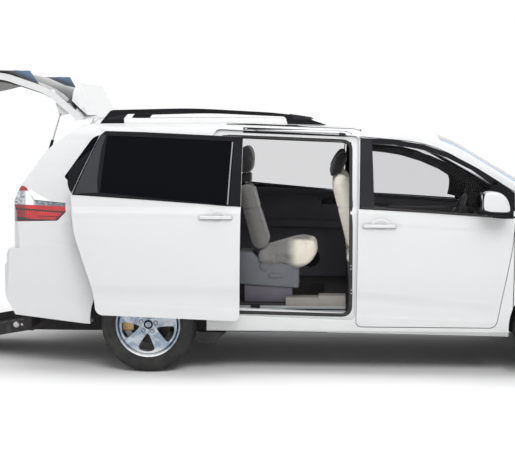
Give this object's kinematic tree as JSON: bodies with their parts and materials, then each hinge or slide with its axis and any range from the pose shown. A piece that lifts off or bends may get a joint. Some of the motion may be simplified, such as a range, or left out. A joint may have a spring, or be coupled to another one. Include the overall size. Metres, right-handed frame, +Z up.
{
  "type": "wheelchair-accessible van",
  "caption": "Large family van converted for rear-entry wheelchair access, with sliding side doors, a lifting tailgate, a lowered floor channel and a fold-down ramp.",
  "frame": {"origin": "on the ground under the middle of the whole length, with the ramp down and the tailgate up", "axes": "+X towards the nose, +Y towards the left flank, +Z up"},
  "size_m": [6.1984, 2.43, 2.2484],
  "materials": {
    "paint": "white gloss paint",
    "glass_clear": "clear",
    "glass_dark": "dark tinted",
    "lamp_red": "gloss red",
    "lamp_clear": "clear gloss",
    "black_trim": "satin black",
    "cabin_trim": "matte warm grey",
    "dark_trim": "matte charcoal",
    "seat_fabric": "woven grey",
    "underbody": "satin black",
    "ramp_metal": "textured black",
    "alloy": "painted silver",
    "tyre": "matte",
    "steel": "machined",
    "brake": "oxidised golden brown",
    "engine_grey": "cast"
  },
  "bodies": {
    "body": {"body_side_right": "paint", "body_side_left": "paint", "roof": "paint", "windshield": "glass_clear", "cowl": "black_trim", "fender_right": "paint", "fender_left": "paint", "front_bumper": "paint", "rear_bumper": "paint", "grille": "black_trim", "sliding_door_right": "paint", "sliding_door_left": "paint", "sliding_door_glass_right": "glass_dark", "sliding_door_glass_left": "glass_dark", "quarter_glass": "glass_dark", "tail_lamps": "lamp_red", "headlamps": "lamp_clear", "floor": "dark_trim", "front_structure": "underbody", "engine": "engine_grey", "front_subframe": "underbody", "rear_suspension": "underbody", "exhaust": "steel", "roof_rails": "black_trim", "instrument_panel": "dark_trim", "steering_wheel": "black_trim", "front_seats": "seat_fabric", "rear_seat": "seat_fabric"},
    "front_door_right": {"front_door_right": "paint", "front_door_glass_right": "glass_clear", "mirror_right": "paint"},
    "front_door_left": {"front_door_left": "paint", "front_door_glass_left": "glass_clear", "mirror_left": "paint"},
    "hood": {"hood": "paint"},
    "tailgate": {"tailgate": "paint", "tailgate_glass": "glass_dark"},
    "stay_tubes": {"stay_tubes": "black_trim"},
    "stay_rods": {"stay_rods": "steel"},
    "ramp": {"ramp": "ramp_metal"},
    "knuckle_right": {"knuckle_right": "brake"},
    "knuckle_left": {"knuckle_left": "brake"},
    "wheel_front_right": {"rim_front_right": "alloy", "tyre_front_right": "tyre"},
    "wheel_front_left": {"rim_front_left": "alloy", "tyre_front_left": "tyre"},
    "wheel_rear_right": {"rim_rear_right": "alloy", "tyre_rear_right": "tyre"},
    "wheel_rear_left": {"rim_rear_left": "alloy", "tyre_rear_left": "tyre"}
  },
  "joints": [
    {"name": "steer_right", "type": "hinge", "parent": "body", "child": "knuckle_right", "pos_m": [2.1295, -0.79, 0.352], "axis": [0, 0, 1], "range_deg": [-33, 33]},
    {"name": "steer_left", "type": "hinge", "parent": "body", "child": "knuckle_left", "pos_m": [2.1295, 0.79, 0.352], "axis": [0, 0, 1], "range_deg": [-33, 33]},
    {"name": "roll_front_right", "type": "hinge", "parent": "knuckle_right", "child": "wheel_front_right", "pos_m": [2.1295, -0.85, 0.352], "axis": [0, 1, 0], "continuous": true},
    {"name": "roll_front_left", "type": "hinge", "parent": "knuckle_left", "child": "wheel_front_left", "pos_m": [2.1295, 0.85, 0.352], "axis": [0, 1, 0], "continuous": true},
    {"name": "roll_rear_right", "type": "hinge", "parent": "body", "child": "wheel_rear_right", "pos_m": [-0.9005, -0.85, 0.352], "axis": [0, 1, 0], "continuous": true},
    {"name": "roll_rear_left", "type": "hinge", "parent": "body", "child": "wheel_rear_left", "pos_m": [-0.9005, 0.85, 0.352], "axis": [0, 1, 0], "continuous": true},
    {"name": "front_door_right_hinge", "type": "hinge", "parent": "body", "child": "front_door_right", "pos_m": [1.7895, -0.994, 0.9], "axis": [0, 0, 1], "range_deg": [0, 68]},
    {"name": "front_door_left_hinge", "type": "hinge", "parent": "body", "child": "front_door_left", "pos_m": [1.7895, 0.994, 0.9], "axis": [0, 0, 1], "range_deg": [-68, 0]},
    {"name": "hood_hinge", "type": "hinge", "parent": "body", "child": "hood", "pos_m": [2.2795, 0, 1.186], "axis": [0, 1, 0], "range_deg": [-52, 0]},
    {"name": "tailgate_hinge", "type": "hinge", "parent": "body", "child": "tailgate", "pos_m": [-1.3815, 0, 1.882], "axis": [0, 1, 0], "range_deg": [-74, 0]},
    {"name": "stay_tube_pivot", "type": "hinge", "parent": "body", "child": "stay_tubes", "pos_m": [-1.7465, 0, 1.43], "axis": [0, 1, 0], "range_deg": [-0.5, 31.83]},
    {"name": "stay_rod_slide", "type": "slide", "parent": "stay_tubes", "child": "stay_rods", "axis": [0.301, 0, 0.9536], "range_m": [-0.1164, 0.001]},
    {"name": "ramp_hinge", "type": "hinge", "parent": "body", "child": "ramp", "pos_m": [-1.9055, 0, 0.236], "axis": [0, 1, 0], "range_deg": [0, 112]}
  ],
  "couplings": [
    {"joint": "steer_left", "follows": "steer_right", "ratio": 1},
    {"joint": "stay_tube_pivot", "follows": "tailgate_hinge", "ratio": -0.42333},
    {"joint": "stay_rod_slide", "follows": "tailgate_hinge", "m_per_rad": 0.08932}
  ]
}
